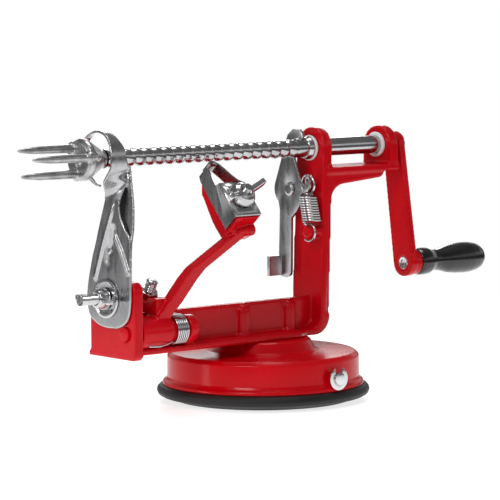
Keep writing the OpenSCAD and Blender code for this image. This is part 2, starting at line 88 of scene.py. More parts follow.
# Chosen
PLATE_X = -97.0
SHEET_T = 1.2
CARRIER = Vector((-38.8, -35.1, 93.9))
CARRIER_SLOPE = math.radians(49.2)
SCREW_LEAD = 6.0
SCREW_END_X = 21.5
PRONG_ANGLES = (48, 168, 288)
PRONG_RING = 7
STOP_LEAN = math.radians(28)
STOP_LENGTH = 16.1
FLOOR_R = 480


# ---- mesh tools ----


def along(origin, axis):
    """Matrix that takes local +Z to axis and the local origin to origin."""
    turn = Vector((0, 0, 1)).rotation_difference(Vector(axis)).to_matrix().to_4x4()
    return Matrix.Translation(Vector(origin)) @ turn


def make(name, verts, faces, place=None, sharp=35):
    """A mesh object from points in millimetres, smooth except along edges sharper than an angle."""
    place = place or Matrix.Identity(4)
    mesh = bpy.data.meshes.new(name)
    mesh.from_pydata([(place @ Vector(v)) * MM for v in verts], [], faces)
    obj = bpy.data.objects.new(name, mesh)
    scene.collection.objects.link(obj)
    tidy(obj, sharp)
    return obj


def tidy(obj, sharp=35):
    """Welds doubles, turns the faces outwards and sets the shading."""
    bm = bmesh.new()
    bm.from_mesh(obj.data)
    bmesh.ops.remove_doubles(bm, verts=bm.verts, dist=2e-6)
    bmesh.ops.recalc_face_normals(bm, faces=bm.faces)
    bm.to_mesh(obj.data)
    bm.free()
    obj.data.polygons.foreach_set("use_smooth", [True] * len(obj.data.polygons))
    obj.data.set_sharp_from_angle(angle=math.radians(sharp))


def apply_modifiers(obj):
    """Bakes the object's modifiers into its mesh."""
    evaluated = obj.evaluated_get(bpy.context.evaluated_depsgraph_get())
    mesh = bpy.data.meshes.new_from_object(evaluated)
    obj.modifiers.clear()
    obj.data = mesh


def bevel(obj, width, segments=3, angle=30):
    m = obj.modifiers.new("Bevel", "BEVEL")
    m.width = width * MM
    m.segments = segments
    m.limit_method = "ANGLE"
    m.angle_limit = math.radians(angle)
    m.harden_normals = False
    apply_modifiers(obj)
    tidy(obj, 40)
    return obj


def soften(obj, voxel, passes):
    """Merges the object's shells into one surface and rounds its edges, as a casting has them."""
    m = obj.modifiers.new("Remesh", "REMESH")
    m.mode = "VOXEL"
    m.voxel_size = voxel * MM
    s = obj.modifiers.new("Smooth", "SMOOTH")
    s.factor = 0.5
    s.iterations = passes
    apply_modifiers(obj)
    tidy(obj, 80)
    return obj


def joined(name, parts):
    """One object from several, which are used up."""
    bm = bmesh.new()
    for part in parts:
        bm.from_mesh(part.data)
        bpy.data.objects.remove(part)
    mesh = bpy.data.meshes.new(name)
    bm.to_mesh(mesh)
    bm.free()
    obj = bpy.data.objects.new(name, mesh)
    scene.collection.objects.link(obj)
    tidy(obj)
    return obj


def copy_of(node, name):
    """A welded copy of a CAD part."""
    obj = bpy.data.objects.new(name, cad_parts[node].data.copy())
    obj.data.materials.clear()
    scene.collection.objects.link(obj)
    tidy(obj)
    return obj


def fillet(points, radius, steps=4, closed=False):
    """The 2-D line with its corners rounded."""
    out = []
    n = len(points)
    for i, p in enumerate(points):
        p = Vector(p)
        if not closed and i in (0, n - 1):
            out.append(p)
            continue
        a, b = Vector(points[i - 1]) - p, Vector(points[(i + 1) % n]) - p
        if a.length < 1e-6 or b.length < 1e-6:
            out.append(p)
            continue
        angle = a.angle(b)
        cut = min(radius / max(math.tan(angle / 2), 0.05), a.length * 0.45, b.length * 0.45)
        a, b = p + a.normalized() * cut, p + b.normalized() * cut
        for k in range(steps + 1):
            t = k / steps
            out.append(a * (1 - t) ** 2 + p * 2 * t * (1 - t) + b * t**2)
    return out


def lathe(name, profile, origin, axis, steps=96, round_off=0.0, sharp=35):
    """A turned solid from (radius, height) pairs, with heights along axis from origin."""
    points = fillet(profile, round_off) if round_off else [Vector(p) for p in profile]
    verts, faces = [], []
    for r, h in points:
        for k in range(steps):
            t = 2 * math.pi * k / steps
            verts.append((r * math.cos(t), r * math.sin(t), h))
    rings = len(points)
    for i in range(rings - 1):
        for k in range(steps):
            j = (k + 1) % steps
            faces.append((i * steps + k, i * steps + j, (i + 1) * steps + j, (i + 1) * steps + k))
    for i in (0, rings - 1):
        if points[i][0] > 1e-6 and (points[0] - points[-1]).length > 1e-6:
            faces.append(tuple(i * steps + k for k in range(steps)))
    return make(name, verts, faces, along(origin, axis), sharp)


def tube(name, path, radius, sides=12, close=False):
    """A round wire along a path. radius is a number, or a function of the share of the path."""
    path = [Vector(p) for p in path]
    count = len(path)
    verts, faces = [], []
    normal = None
    for i, p in enumerate(path):
        ahead = path[(i + 1) % count] if close else path[min(i + 1, count - 1)]
        behind = path[i - 1] if close else path[max(i - 1, 0)]
        tangent = (ahead - behind).normalized()
        if normal is None:
            normal = tangent.orthogonal().normalized()
        normal = (normal - tangent * normal.dot(tangent)).normalized()
        side = tangent.cross(normal)
        r = radius(i / (count - 1)) if callable(radius) else radius
        for k in range(sides):
            t = 2 * math.pi * k / sides
            verts.append(p + (normal * math.cos(t) + side * math.sin(t)) * r)
    for i in range(count if close else count - 1):
        a, b = i * sides, ((i + 1) % count) * sides
        for k in range(sides):
            j = (k + 1) % sides
            faces.append((a + k, a + j, b + j, b + k))
    if not close:
        faces += [tuple(range(sides)), tuple((count - 1) * sides + k for k in range(sides))]
    return make(name, verts, faces, sharp=60)


def threaded(name, origin, axis, length, radius, lead, depth, groove, fade=(0, 0), steps=48, pitch_steps=16):
    """A rod with a right-hand thread. groove gives the depth's share at a share of the lead."""
    rows = max(2, round(length / lead * pitch_steps))
    verts, faces = [], []
    for i in range(rows + 1):
        h = length * i / rows
        share = 1.0
        if fade[0]:
            share *= smooth(h / fade[0])
        if fade[1]:
            share *= smooth((length - h) / fade[1])
        for k in range(steps):
            t = 2 * math.pi * k / steps
            r = radius - depth * share * groove((h / lead - k / steps) % 1.0)
            verts.append((r * math.cos(t), r * math.sin(t), h))
    for i in range(rows):
        for k in range(steps):
            j = (k + 1) % steps
            faces.append((i * steps + k, i * steps + j, (i + 1) * steps + j, (i + 1) * steps + k))
    faces += [tuple(range(steps)), tuple(rows * steps + k for k in range(steps))]
    return make(name, verts, faces, along(origin, axis), sharp=70)


def smooth(t):
    t = min(max(t, 0.0), 1.0)
    return t * t * (3 - 2 * t)


def v_groove(share):
    return 1 - abs(2 * share - 1)


def prism(name, outline, thickness, place, edge=0.3, holes=()):
    """A flat blank from a closed outline in the local XY plane, with rounded edges."""
    bm = bmesh.new()

    def ring(points):
        made = [bm.verts.new((x, y, 0)) for x, y in points]
        return [bm.edges.new((made[i], made[(i + 1) % len(made)])) for i in range(len(made))]

    edges = ring(outline)
    for hole in holes:
        edges += ring(hole)
    bmesh.ops.triangle_fill(bm, use_beauty=True, use_dissolve=False, edges=edges)
    bmesh.ops.dissolve_limit(bm, angle_limit=0.01, verts=bm.verts, edges=bm.edges)
    top = bmesh.ops.extrude_face_region(bm, geom=list(bm.faces))
    bmesh.ops.translate(
        bm, vec=(0, 0, thickness), verts=[v for v in top["geom"] if isinstance(v, bmesh.types.BMVert)]
    )
    bmesh.ops.transform(bm, matrix=Matrix.Scale(MM, 4) @ place, verts=bm.verts)
    mesh = bpy.data.meshes.new(name)
    bm.to_mesh(mesh)
    bm.free()
    obj = bpy.data.objects.new(name, mesh)
    scene.collection.objects.link(obj)
    tidy(obj)
    return bevel(obj, edge, 2, 50) if edge else obj


def hexagon(radius):
    """Six corners on a circle."""
    return [(radius * math.cos(math.pi / 3 * k), radius * math.sin(math.pi / 3 * k)) for k in range(6)]


def slab(name, rows, thickness):
    """A curved sheet. rows holds lists of points across it, and thickness is to both sides of them."""
    count, width = len(rows), len(rows[0])
    verts = []
    for side in (1, -1):
        for i, row in enumerate(rows):
            for j, p in enumerate(row):
                a = Vector(rows[min(i + 1, count - 1)][j]) - Vector(rows[max(i - 1, 0)][j])
                b = Vector(row[min(j + 1, width - 1)]) - Vector(row[max(j - 1, 0)])
                normal = a.cross(b)
                normal = normal.normalized() if normal.length > 1e-9 else Vector((1, 0, 0))
                verts.append(Vector(p) + normal * side * thickness / 2)
    half = count * width
    faces = []
    for i in range(count - 1):
        for j in range(width - 1):
            a, b = i * width + j, (i + 1) * width + j
            faces.append((a, a + 1, b + 1, b))
            faces.append((half + a, half + b, half + b + 1, half + a + 1))
    rim = list(range(width)) + [i * width + width - 1 for i in range(1, count)]
    rim += [(count - 1) * width + j for j in range(width - 2, -1, -1)]
    rim += [i * width for i in range(count - 2, 0, -1)]
    for k, a in enumerate(rim):
        b = rim[(k + 1) % len(rim)]
        faces.append((a, b, half + b, half + a))
    return make(name, verts, faces)


# ---- materials ----


def material(name, colour, roughness, metallic=0.0, **sockets):
    m = bpy.data.materials.new(name)
    m.use_nodes = True
    shader = m.node_tree.nodes["Principled BSDF"]
    shader.inputs["Base Color"].default_value = (*colour, 1)
    shader.inputs["Roughness"].default_value = roughness
    shader.inputs["Metallic"].default_value = metallic
    for key, value in sockets.items():
        shader.inputs[key.replace("_", " ")].default_value = value
    return m, m.node_tree.nodes, m.node_tree.links, shader


def place_texture(nodes, links, scale, stretch=(1, 1, 1), kind="ShaderNodeTexNoise", detail=3.0):
    """A texture in the object's own coordinates, stretched along its axes."""
    where = nodes.new("ShaderNodeTexCoord")
    mapping = nodes.new("ShaderNodeMapping")
    mapping.inputs["Scale"].default_value = stretch
    texture = nodes.new(kind)
    texture.inputs["Scale"].default_value = scale
    if "Detail" in texture.inputs:
        texture.inputs["Detail"].default_value = detail
    links.new(where.outputs["Object"], mapping.inputs["Vector"])
    links.new(mapping.outputs["Vector"], texture.inputs["Vector"])
    return texture


def ramp(nodes, links, source, stops):
    """A colour ramp over a texture. stops holds (place, colour) pairs."""
    node = nodes.new("ShaderNodeValToRGB")
    elements = node.color_ramp.elements
    while len(elements) < len(stops):
        elements.new(0.5)
    for element, (at, colour) in zip(elements, stops):
        element.position = at
        element.color = (*colour, 1) if len(colour) == 3 else colour
    links.new(source, node.inputs["Fac"])
    return node.outputs["Color"]


def grey(value):
    return (value, value, value)


def add_bump(nodes, links, shader, layers):
    """Bumps laid over each other. layers holds (texture output, strength, depth in millimetres)."""
    last = None
    for source, strength, depth in layers:
        bump = nodes.new("ShaderNodeBump")
        bump.inputs["Strength"].default_value = strength
        bump.inputs["Distance"].default_value = depth * MM
        links.new(source, bump.inputs["Height"])
        if last:
            links.new(last, bump.inputs["Normal"])
        last = bump.outputs["Normal"]
    links.new(last, shader.inputs["Normal"])


def enamel_material():
    """Thick red enamel on a casting: slight waves, a fine orange peel and a deep gloss."""
    m, nodes, links, shader = material(
        "red_enamel", (0.52, 0.001, 0.006), 0.24,
        Coat_Weight=0.14, Coat_Roughness=0.08, Specular_IOR_Level=0.12,
    )
    broad = place_texture(nodes, links, 26, detail=2)
    links.new(
        ramp(nodes, links, broad.outputs["Fac"], [(0.3, (0.48, 0.0, 0.004)), (0.7, (0.60, 0.001, 0.008))]),
        shader.inputs["Base Color"],
    )
    links.new(
        ramp(nodes, links, broad.outputs["Fac"], [(0.3, grey(0.20)), (0.75, grey(0.32))]),
        shader.inputs["Roughness"],
    )
    waves = place_texture(nodes, links, 90, detail=1)
    peel = place_texture(nodes, links, 900, detail=2)
    add_bump(nodes, links, shader, [(waves.outputs["Fac"], 0.25, 0.25), (peel.outputs["Fac"], 0.12, 0.04)])
    return m


def steel_material(name, colour, roughness, grain, scratch=0.15, stretch=(1, 1, 1), spread=0.08):
    """Bare or plated steel: uneven gloss, faint stains and scratches."""
    m, nodes, links, shader = material(name, colour, roughness, 1.0)
    stain = place_texture(nodes, links, 60, detail=4)
    darker = tuple(c * 0.82 for c in colour)
    links.new(
        ramp(nodes, links, stain.outputs["Fac"], [(0.35, darker), (0.65, colour)]), shader.inputs["Base Color"]
    )
    fine = place_texture(nodes, links, grain, stretch, detail=6)
    links.new(
        ramp(
            nodes, links, fine.outputs["Fac"],
            [(0.3, grey(max(roughness - spread, 0.03))), (0.7, grey(roughness + spread))],
        ),
        shader.inputs["Roughness"],
    )
    add_bump(nodes, links, shader, [(fine.outputs["Fac"], scratch, 0.03)])
    return m


def cast_steel_material():
    """Plated casting of the fork: a pebbled skin, darker in its hollows."""
    m, nodes, links, shader = material("cast_steel", (0.42, 0.42, 0.43), 0.34, 1.0)
    mottle = place_texture(nodes, links, 220, detail=5)
    links.new(
        ramp(nodes, links, mottle.outputs["Fac"], [(0.35, grey(0.30)), (0.65, grey(0.52))]),
        shader.inputs["Base Color"],
    )
    pebble = place_texture(nodes, links, 1400, detail=3)
    add_bump(nodes, links, shader, [(mottle.outputs["Fac"], 0.35, 0.15), (pebble.outputs["Fac"], 0.3, 0.04)])
    return m


def black_material():
    """Glossy black plastic of the knob and grip, with a slight haze."""
    m, nodes, links, shader = material(
        "black_handle", (0.003, 0.003, 0.0035), 0.16, Coat_Weight=0.3, Coat_Roughness=0.05
    )
    haze = place_texture(nodes, links, 70, detail=3).outputs["Fac"]
    links.new(ramp(nodes, links, haze, [(0.3, grey(0.002)), (0.7, grey(0.006))]), shader.inputs["Base Color"])
    links.new(ramp(nodes, links, haze, [(0.3, grey(0.12)), (0.7, grey(0.26))]), shader.inputs["Roughness"])
    fine = place_texture(nodes, links, 1200, detail=2)
    add_bump(nodes, links, shader, [(haze, 0.1, 0.2), (fine.outputs["Fac"], 0.06, 0.03)])
    return m


def rubber_material():
    """Matt rubber with a faint bloom and fine pores."""
    m, nodes, links, shader = material("rubber", (0.012, 0.012, 0.013), 0.5, Specular_IOR_Level=0.35)
    bloom = place_texture(nodes, links, 45, detail=4).outputs["Fac"]
    links.new(ramp(nodes, links, bloom, [(0.35, grey(0.005)), (0.7, grey(0.013))]), shader.inputs["Base Color"])
    links.new(ramp(nodes, links, bloom, [(0.3, grey(0.42)), (0.7, grey(0.62))]), shader.inputs["Roughness"])
    pores = place_texture(nodes, links, 2200, detail=2)
    add_bump(nodes, links, shader, [(pores.outputs["Fac"], 0.3, 0.05)])
    return m


def nylon_material():
    """White nylon of the bushes, slightly translucent and clouded."""
    m, nodes, links, shader = material(
        "nylon", (0.82, 0.83, 0.84), 0.38, Subsurface_Weight=0.25, Subsurface_Scale=0.002
    )
    cloud = place_texture(nodes, links, 150, detail=3)
    links.new(
        ramp(nodes, links, cloud.outputs["Fac"], [(0.3, (0.74, 0.76, 0.78)), (0.7, (0.86, 0.87, 0.87))]),
        shader.inputs["Base Color"],
    )
    tool = place_texture(nodes, links, 1800, detail=2)
    add_bump(nodes, links, shader, [(tool.outputs["Fac"], 0.15, 0.03)])
    return m


ENAMEL = enamel_material()
PLATED = steel_material("plated_steel", (0.60, 0.60, 0.61), 0.16, 700)
SHAFT_STEEL = steel_material("shaft_steel", (0.50, 0.50, 0.51), 0.15, 500, 0.1, (0.15, 1, 1))
SHEET = steel_material("sheet_steel", (0.46, 0.46, 0.47), 0.26, 500, 0.12, (1, 1, 0.12), 0.07)
# Near-black steel for the wall behind the slit: painted shade, standing in for the dark of the deep crevice
SLIT_SHADE_STEEL = steel_material("painted_shade_steel", (0.06, 0.06, 0.061), 0.4, 500)
WIRE = steel_material("spring_wire", (0.58, 0.58, 0.59), 0.14, 1500, 0.08)
CAST = cast_steel_material()
BLACK = black_material()
RUBBER = rubber_material()
NYLON = nylon_material()


def paint(obj, look):
    obj.data.materials.clear()
    obj.data.materials.append(look)
    return obj


def piece(obj, body, look, *replaced):
    """Paints a piece, lets it ride on its body and hides the CAD parts it stands for."""
    paint(obj, look)
    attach(obj, body)
    if replaced:
        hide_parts(*replaced)
    return obj


# ---- frame casting and suction base ----


def build_frame():
    piece(soften(copy_of("frame_casting", "casting"), 0.6, 4), "frame", ENAMEL, "frame_casting")
    x1, x2 = low("arm_pivot_pin").x, high("arm_pivot_pin").x
    r = (high("arm_pivot_pin").z - low("arm_pivot_pin").z) / 2
    pin = lathe("pivot_pin", [(0, x1), (r, x1), (r, x2), (0, x2)], (0, PIVOT.y, PIVOT.z), (1, 0, 0), 48, 0.5)
    piece(pin, "frame", ENAMEL, "arm_pivot_pin")


def build_base():
    """Suction dome and the rubber cup under it."""
    top, foot = high("suction_dome").z, high("suction_cup").z
    dome = lathe(
        "dome",
        [
            (0, top - 3.2), (19.2, top - 3.2), (22.6, 20.8), (41.7, 20.8), (43.7, 18.8), (44.1, foot),
            (49.3, foot), (49.7, foot + 0.5), (49.3, 9.3), (48.1, 10.0), (47.4, 11.4), (47.3, 21.6),
            (45.4, 23.4), (27.6, 23.9), (26.0, 24.7), (23.4, 29.1), (22.4, top), (0, top),
        ],
        (0, 0, 0), (0, 0, 1), 160, 1.1,
    )
    rod = middle("cam_rod")
    collars = []
    for side in (-1, 1):
        collars.append(
            lathe("collar", [(0, 44), (4.6, 44), (4.6, 49.7), (3.1, 49.7), (3.1, 44)],
                  (rod.x - 0.9, 0, rod.z + 0.8), (0, side, 0), 48, 0.4)
        )
    piece(joined("suction_dome_skin", [dome, *collars]), "frame", ENAMEL, "suction_dome")
    cup = lathe(
        "rubber_foot",
        [
            (0, 0), (44, 0), (46, 1.2), (50.4, 2.0), (51.9, 2.9), (52.5, 4.4), (52.2, 5.8), (51.2, 6.9),
            (49.6, 7.5), (46.2, 7.5), (45, 5), (42, 2.5), (0, 2.5),
        ],
        (0, 0, 0), (0, 0, 1), 160, 0.5,
    )
    piece(cup, "frame", RUBBER, "suction_cup")


# ---- shaft ----


def shaft_groove(share):
    """Narrow valley between broad rounded lands."""
    return (1 - math.sin(math.pi * share)) ** 1.15


def build_shaft():
    """Screw shaft: coarse thread, plain end and neck."""
    start, end = FORK_X + 14.6, high("screw_shaft").x
    threads = threaded(
        "thread", (start, 0, SHAFT_Z), (1, 0, 0), SCREW_END_X - start, SHAFT_R, SCREW_LEAD, 0.75, shaft_groove,
        (1.5, 4), 64, 24,
    )
    rod = lathe(
        "plain", [(0, 0), (SHAFT_R, 0), (SHAFT_R, end - SCREW_END_X), (0, end - SCREW_END_X)],
        (SCREW_END_X, 0, SHAFT_Z), (1, 0, 0), 64,
    )
    neck = lathe(
        "neck", [(0, -6), (3, -6), (3, 0), (4.2, 0), (4.2, 1.2), (0, 1.2)], (start, 0, SHAFT_Z), (1, 0, 0), 48
    )
    piece(joined("feed_screw", [threads, rod, neck]), "shaft", SHAFT_STEEL, "screw_shaft")


def build_fork():
    """Cone head with its three prongs."""
    parts = [
        lathe(
            "head",
            [(0, 0), (8, 0), (9.6, 0.9), (10, 2), (10, 3.2), (4.6, 12.2), (4.4, 12.6), (4.4, 14), (0, 14)],
            (FORK_X, 0, SHAFT_Z), (1, 0, 0), 96, 0.3,
        ),
        lathe(
            "boss", [(0, -1.1), (2.2, -0.9), (3.0, 0), (3.0, 1), (0, 1)], (FORK_X, 0, SHAFT_Z), (1, 0, 0), 48, 0.3
        ),
    ]
    prong = [(0, -1.5), (2.15, -1.5), (2.0, 14), (1.9, 21), (1.0, 29.4), (0.7, 30.4), (0.3, 30.95), (0, 31)]
    rib = [(0, -1.6), (1.6, -1.4), (2.6, 0.2), (2.6, 4.0), (1.2, 7.4), (0, 8)]
    for angle in PRONG_ANGLES:
        t = math.radians(angle)
        for name, profile, ring, way in (("prong", prong, PRONG_RING, -1), ("rib", rib, PRONG_RING + 0.9, 1)):
            at = (FORK_X, ring * math.cos(t), SHAFT_Z + ring * math.sin(t))
            parts.append(lathe(name, profile, at, (way, 0, 0), 32))
    piece(soften(joined("apple_fork", parts), 0.28, 3), "shaft", CAST, "fork")


def build_bushes():
    """Nylon bushes and the sleeve between them."""
    bore = SHAFT_R + 0.06
    for node, body in (("front_bush", "frame"), ("rear_bush", "feed_bush")):
        face = low(node).x
        length = high(node).x - face
        bush = lathe(
            node + "_nylon",
            [(bore, 0), (6.3, 0), (6.3, 1.3), (5.45, 1.3), (5.45, length), (bore, length), (bore, 0)],
            (face, 0, SHAFT_Z), (1, 0, 0), 96, 0.3,
        )
        piece(bush, body, NYLON, node)
    x1, x2 = low("bush_sleeve").x, high("bush_sleeve").x
    length = x2 - x1
    sleeve = lathe(
        "sleeve",
        [(bore, 0), (5.0, 0), (5.25, 0.8), (5.7, length * 0.7), (5.85, length), (bore, length), (bore, 0)],
        (x1, 0, SHAFT_Z), (1, 0, 0), 96, 0.3,
    )
    piece(sleeve, "frame", PLATED, "bush_sleeve")


# ---- crank ----


def build_crank():
    """Crank arm, its nut, the spindle and the knob."""
    piece(soften(copy_of("crank_arm", "crank"), 0.4, 3), "shaft", ENAMEL, "crank_arm")
    x1, x2 = low("crank_screw").x, high("crank_screw").x
    nut = lathe(
        "crank_nut_dome",
        [(0, 0), (5.6, 0), (5.6, 0.7), (4.6, 0.95), (3.9, 1.0), (3.7, 1.35), (2.2, 1.55), (0, x2 - x1)],
        (x1, 0, SHAFT_Z), (1, 0, 0), 64, 0.3,
    )
    piece(nut, "shaft", PLATED, "crank_screw")
    x1, x2 = low("knob_spindle").x, high("knob_spindle").x
    length = x2 - x1
    spindle = lathe(
        "knob_rivet",
        [
            (0, 0.55), (1.2, 0.5), (1.8, 0.15), (2.9, 0), (3.35, 0.25), (3.35, 0.55), (2.5, 0.6),
            (2.5, length - 2), (3.6, length - 2), (3.6, length - 0.6), (2.4, length), (0, length),
        ],
        (x1, KNOB.y, KNOB.z), (1, 0, 0), 64, 0.15,
    )
    piece(spindle, "shaft", PLATED, "knob_spindle")
    x1, x2 = low("knob").x, high("knob").x
    l = x2 - x1
    handle = lathe(
        "handle",
        [
            (2.56, 0), (6.2, 0), (6.9, 1.5), (7, 4), (6.8, 7), (6, 9.4), (5.4, 11), (5.35, 14.5), (5.9, 17.5),
            (6.9, 21.2), (7.6, 26.5), (7.95, 32), (7.9, 36), (7.4, 40), (6.6, 43), (5.2, l - 1.1),
            (3.8, l - 0.1), (3.8, l - 8.1), (2.56, l - 8.1), (2.56, 0),
        ],
        (x1, KNOB.y, KNOB.z), (1, 0, 0), 128, 0.6, 30,
    )
    piece(handle, "knob", BLACK, "knob")


# ---- slicing plate ----


def near(y, z, line, width):
    """Height of a rounded ridge along a line in Y and Z."""
    p, best = Vector((y, z)), 1e9
    for a, b in zip(line, line[1:]):
        a, b = Vector(a), Vector(b)
        t = min(max((p - a).dot(b - a) / (b - a).length_squared, 0), 1)
        best = min(best, (p - a - (b - a) * t).length)
    return math.exp(-((best / width) ** 2))


def relief(y, z):
    """Stamped ribs and the hollow between them, outwards from the plate."""
    rib = 0.8 * near(y, z, [(-8.2, 106), (-4.7, 96), (1.3, 82.7), (7.6, 66)], 0.95)
    leg = 0.8 * near(y, z, [(-7.1, 87.5), (-12.7, 79), (-17.2, 70)], 0.95)
    hollow = 1.3 * near(y, z, [(-6.2, 89), (-3.4, 80)], 1.7) + 0.8 * near(y, z, [(-3.4, 80), (-2.2, 74.5)], 2.6)
    return rib + leg - min(hollow, 1.5)


def mix(a, b, t):
    """The point a fraction t of the way from a to b."""
    return tuple(x * (1 - t) + y * t for x, y in zip(a, b))


def ladder(stations, rows_per_step, across, bump=None):
    """Rows of points between stations, each of which is (left edge, right edge)."""
    rows = []
    for (l0, r0), (l1, r1) in zip(stations, stations[1:]):
        for k in range(rows_per_step):
            t = k / rows_per_step
            rows.append((mix(l0, l1, t), mix(r0, r1, t)))
    rows.append(stations[-1])
    out = []
    for l, r in rows:
        row = []
        for j in range(across + 1):
            x, y, z = mix(l, r, j / across)
            row.append((x - (bump(y, z) if bump else 0), y, z))
        out.append(row)
    return out


def spline(values, samples):
    """Catmull-Rom points through the values."""
    out = []
    n = len(values)
    for i in range(n - 1):
        p = [Vector(values[max(0, min(n - 1, i + d))]) for d in (-1, 0, 1, 2)]
        for k in range(samples):
            t = k / samples
            out.append(
                0.5 * (2 * p[1] + (p[2] - p[0]) * t + (2 * p[0] - 5 * p[1] + 4 * p[2] - p[3]) * t**2
                       + (3 * p[1] - p[0] - 3 * p[2] + p[3]) * t**3)
            )
    out.append(Vector(values[-1]))
    return out


def build_plate():
    """Slicing plate, stamped and slit, twisting into the coring ring."""
    x0 = PLATE_X + 0.7
    ring_r = 12.75

    def on_ring(angle, front, back):
        t = math.radians(angle)
        y, z = ring_r * math.cos(t), SHAFT_Z + ring_r * math.sin(t)
        return (front, y, z), (back, y, z)

    def flat(left_y, left_z, right_y, right_z, dx1=0.0, dx2=0.0):
        return (x0 + dx1, left_y, left_z), (x0 + dx2, right_y, right_z)

    # The plate, narrowing above the slit into the strip that twists into the coring ring
    stations = [
        flat(-1, 42.4, -8, 42.7), flat(5, 43.2, -12, 43.9), flat(9.9, 45.3, -15.2, 45.8),
        flat(12.4, 47.2, -17, 48), flat(14, 50.5, -18.2, 51), flat(14.7, 56.3, -18.9, 56.5),
        flat(13.5, 64, -19.1, 64), flat(11.8, 70, -19.2, 70),
        flat(10.1, 75.7, -19.2, 76), flat(8, 81, -19.2, 81), flat(6.9, 84, -19, 84), flat(5.9, 87, -18, 86.8),
        flat(4.7, 90.3, -15, 90), flat(3.2, 94.4, -12.1, 94.7), flat(1.5, 98.8, -10.9, 99.5),
        flat(0.1, 102.7, -11, 103, 0, 0.2), flat(-0.9, 106, -11.7, 106.4, -0.8, 1.2),
        flat(-3.6, 109, -12.4, 109.8, -3.8, 2.5), ((-103.4, -7.8, 111.8), (-92.9, -12.5, 112.7)),
        on_ring(209, -103.3, -91.8), on_ring(196, -102.7, -92.5), on_ring(175, -102.7, -93.7),
        on_ring(157, -102.3, -94.1), on_ring(140, -101.8, -95.3), on_ring(122, -101.2, -96.1),
        on_ring(104, -100.9, -96.6), on_ring(90, -100.8, -97.4), on_ring(75, -100.9, -98.1),
        on_ring(57, -101.2, -98), on_ring(41, -101.6, -98), on_ring(20, -101.4, -97.9),
        on_ring(0, -101, -97.8), on_ring(-30, -100.4, -97.6),
        on_ring(-52, -99.6, -97.4), on_ring(-70, -99.1, -97.5), on_ring(-85, -98.6, -97.9),
    ]
    left = spline([c[0] for c in stations], 7)
    right = spline([c[1] for c in stations], 7)
    sheet = ladder(list(zip(left, right)), 1, 60, lambda y, z: relief(y, z) * smooth((105 - z) / 9))
    # Cutting leaf, lifted back behind the slit, and the wall that joins it to the strip
    leaf = [
        (76, -18.6, -19.3, 0), (82, -18.4, -19.4, 0.3), (86.8, -17.6, -19.5, 1.0), (90, -15, -19.3, 1.6),
        (94.7, -12.2, -18.8, 2.2), (99.5, -10.9, -18.2, 2.7), (104, -10.3, -17.2, 3.2), (111.5, -10.6, -15.2, 3.9),
        (115, -11.0, -14.2, 4.3), (119, -12, -13.2, 4.7),
    ]
    left = spline([(x0 + dx, y, z) for z, y, _, dx in leaf], 6)
    right = spline([(x0 + dx, y, z) for z, _, y, dx in leaf], 6)
    cutter = ladder(list(zip(left, right)), 1, 16)
    strip_edge = [
        (0, -19.2, 82), (0, -18, 86.8), (0, -15, 90), (0, -12.1, 94.7), (0, -10.9, 99.5), (0.4, -11.2, 104),
        (2.9, -12.3, 111.5),
    ]
    inner = spline([(x0 + dx, y, z) for dx, y, z in strip_edge], 6)
    outer = spline([(x0 + dx, y, z) for z, y, _, dx in leaf[1:8]], 6)
    wall = [[a, mix(a, b, 0.5), b] for a, b in zip(inner, outer)]
    plate = soften(joined("slicer", [slab("sheet", sheet, SHEET_T), slab("cutter", cutter, 0.9)]), 0.32, 2)
    piece(plate, "slicer", SHEET, "slicer_plate")
    # The wall behind the slit is painted near-black as painted shade, so the slit reads dark
    piece(slab("slit_wall", wall, 0.8), "slicer", SLIT_SHADE_STEEL)


def wing_nut(name, origin, axis, turn, bore, hub):
    """A forged wing nut: a rounded hub and two flat-ended wings."""
    parts = [lathe("hub", [(bore, 0), *hub, (bore, hub[-1][1]), (bore, 0)], (0, 0, 0), (0, 0, 1), 64, 0.5)]
    for side in (-1, 1):
        outline = fillet(
            [(side * x, z) for x, z in
             ((2.6, 0.7), (5.2, 0.7), (9.6, 1.9), (13.0, 3.3), (13.7, 5.4), (13.3, 7.5), (11.2, 7.7), (8.0, 6.3),
              (5.0, 5.0), (2.6, 4.6))],
            1.0, 4, True,
        )
        stand = Matrix.Rotation(math.pi / 2, 4, "X") @ Matrix.Translation((0, 0, -1.45))
        parts.append(prism("wing", outline, 2.9, stand, 0.5))
    nut = soften(joined(name, parts), 0.2, 2)
    place = along(origin, axis) @ Matrix.Rotation(turn, 4, "Z")
    place.translation *= MM
    nut.data.transform(place)
    return nut


def build_plate_hardware():
    """Bolt, washer and wing nut that clamp the slicing plate."""
    x1, x2 = low("blade_bolt").x, high("blade_bolt").x
    thread = threaded(
        "bolt_thread", (x2 - 1, BOLT.y, BOLT.z), (-1, 0, 0), x2 - 1 - x1 - 0.3, 2.46, 0.8, 0.42, v_groove,
        (0, 0.8), 32, 8,
    )
    head = prism("bolt_head", hexagon(4.9), 2.6, along((x2 - 2.6, BOLT.y, BOLT.z), (1, 0, 0)), 0.4)
    piece(joined("clamp_bolt", [thread, head]), "frame", PLATED, "blade_bolt")
    x1, x2 = low("blade_washer").x, high("blade_washer").x
    washer = lathe(
        "clamp_washer",
        [
            (2.7, 0), (9.2, 0), (9.4, 0.5), (9.2, 0.95), (8.4, 1.0), (7.8, 0.7), (4, 0.62), (2.7, 0.62),
            (2.7, 0),
        ],
        (x2, BOLT.y, BOLT.z), (-1, 0, 0), 96, 0.1,
    )
    piece(washer, "slicer_washer", PLATED, "blade_washer")
    nut = wing_nut(
        "clamp_wing_nut", (high("blade_wing_nut").x, BOLT.y, BOLT.z), (-1, 0, 0), math.radians(90), 2.55,
        [(5.3, 0), (5.3, 0.7), (4.7, 3.2), (4.1, 5.0), (3.3, 5.5)],
    )
    piece(nut, "slicer_nut", PLATED, "blade_wing_nut")


# ---- peeling arm ----


def carrier_point(x, y, z):
    c, s = math.cos(CARRIER_SLOPE), math.sin(CARRIER_SLOPE)
    return CARRIER + Vector((x, y * c - z * s, y * s + z * c))


